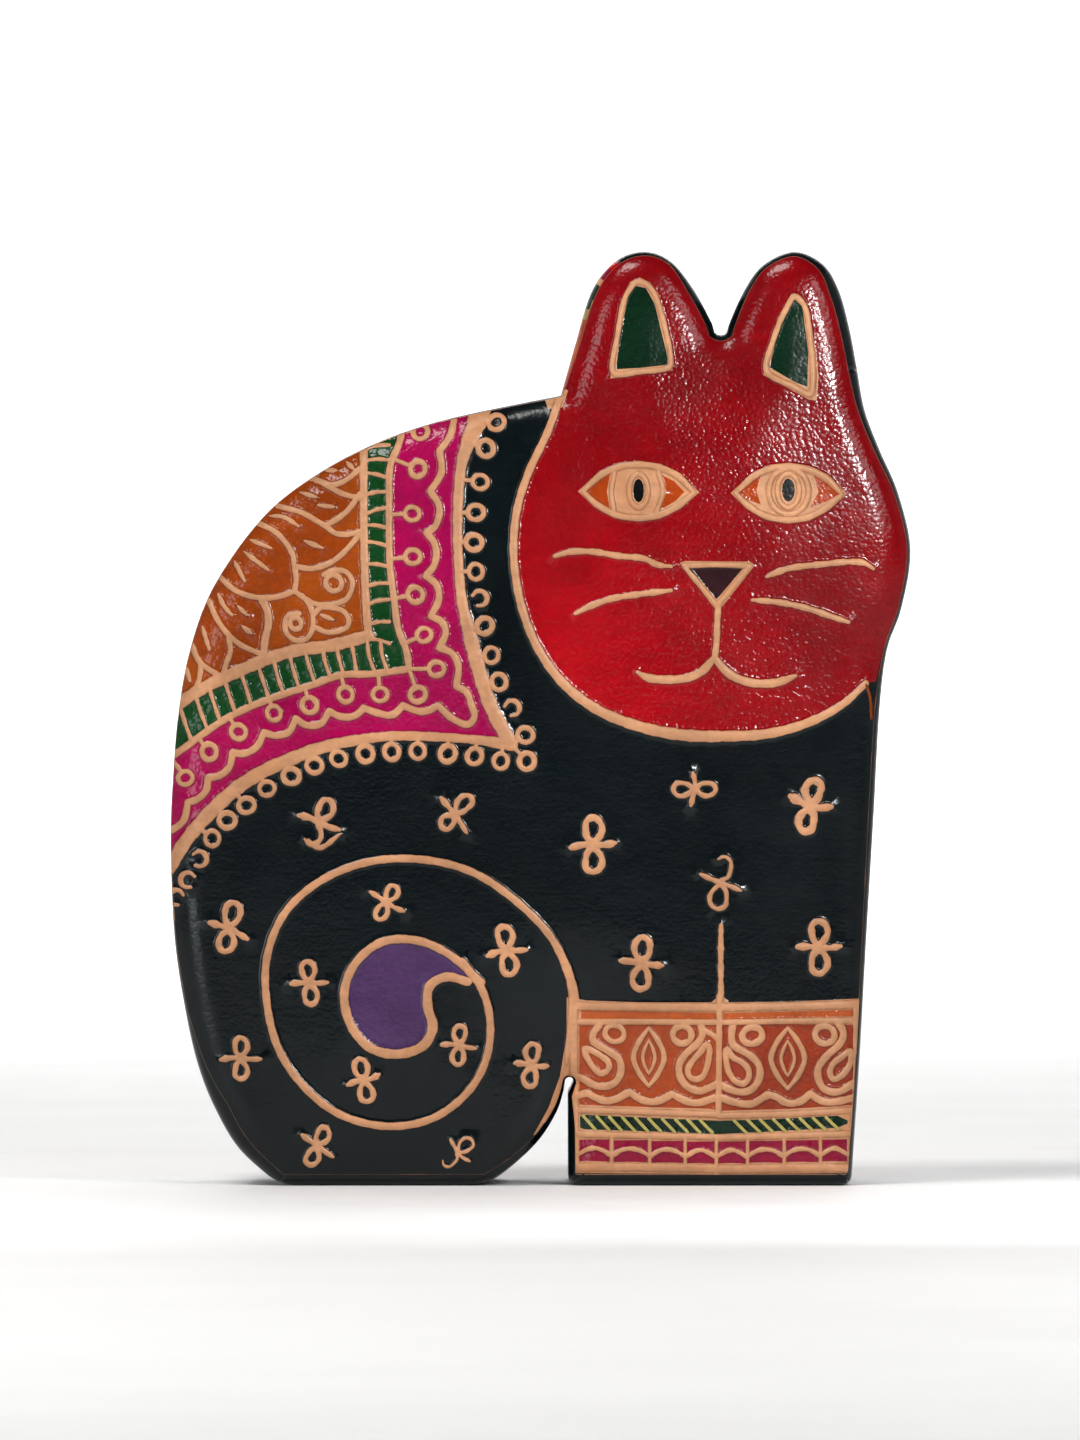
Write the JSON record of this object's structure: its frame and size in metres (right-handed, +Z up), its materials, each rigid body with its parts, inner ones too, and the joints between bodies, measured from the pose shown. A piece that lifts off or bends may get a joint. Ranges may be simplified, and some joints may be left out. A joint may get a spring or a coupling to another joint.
{
  "type": "leather coin bank",
  "caption": "Seated cat coin bank: a hollow moulded-paper body covered in embossed, hand-painted leather, with a coin slot in the back and a pull-out stopper in the base.",
  "frame": {"origin": "centre of the bounding box's underside, on the surface that the cat stands on", "axes": "+Z up, the cat's painted face looks towards -Y, +X to the right seen from the front, its back and haunch on the -X side"},
  "size_m": [0.119, 0.044, 0.15],
  "materials": {
    "painted_leather": "embossed goat leather, hand painted, glossy clear lacquer",
    "edge_leather": "black dyed leather, glossy lacquer",
    "patterned_leather": "painted leather with coloured bands, glossy lacquer",
    "moulded_paper": "rough moulded paper pulp",
    "paper_tape": "pasted kraft paper",
    "stopper_vinyl": "satin soft vinyl"
  },
  "bodies": {
    "cat": {"core_front": "moulded_paper", "core_back": "moulded_paper", "seam_tape": "paper_tape", "leather_front": "painted_leather", "leather_back": "painted_leather", "strip_spine": "edge_leather", "strip_left_ear": "patterned_leather", "strip_crown": "edge_leather", "strip_chest": "edge_leather", "strip_notch": "edge_leather", "base_haunch": "edge_leather", "base_leg": "edge_leather"},
    "stopper": {"stopper": "stopper_vinyl"}
  },
  "joints": [
    {"name": "stopper_pull", "type": "slide", "parent": "cat", "child": "stopper", "axis": [0, 0, -1], "range_m": [0, 0.02]}
  ]
}
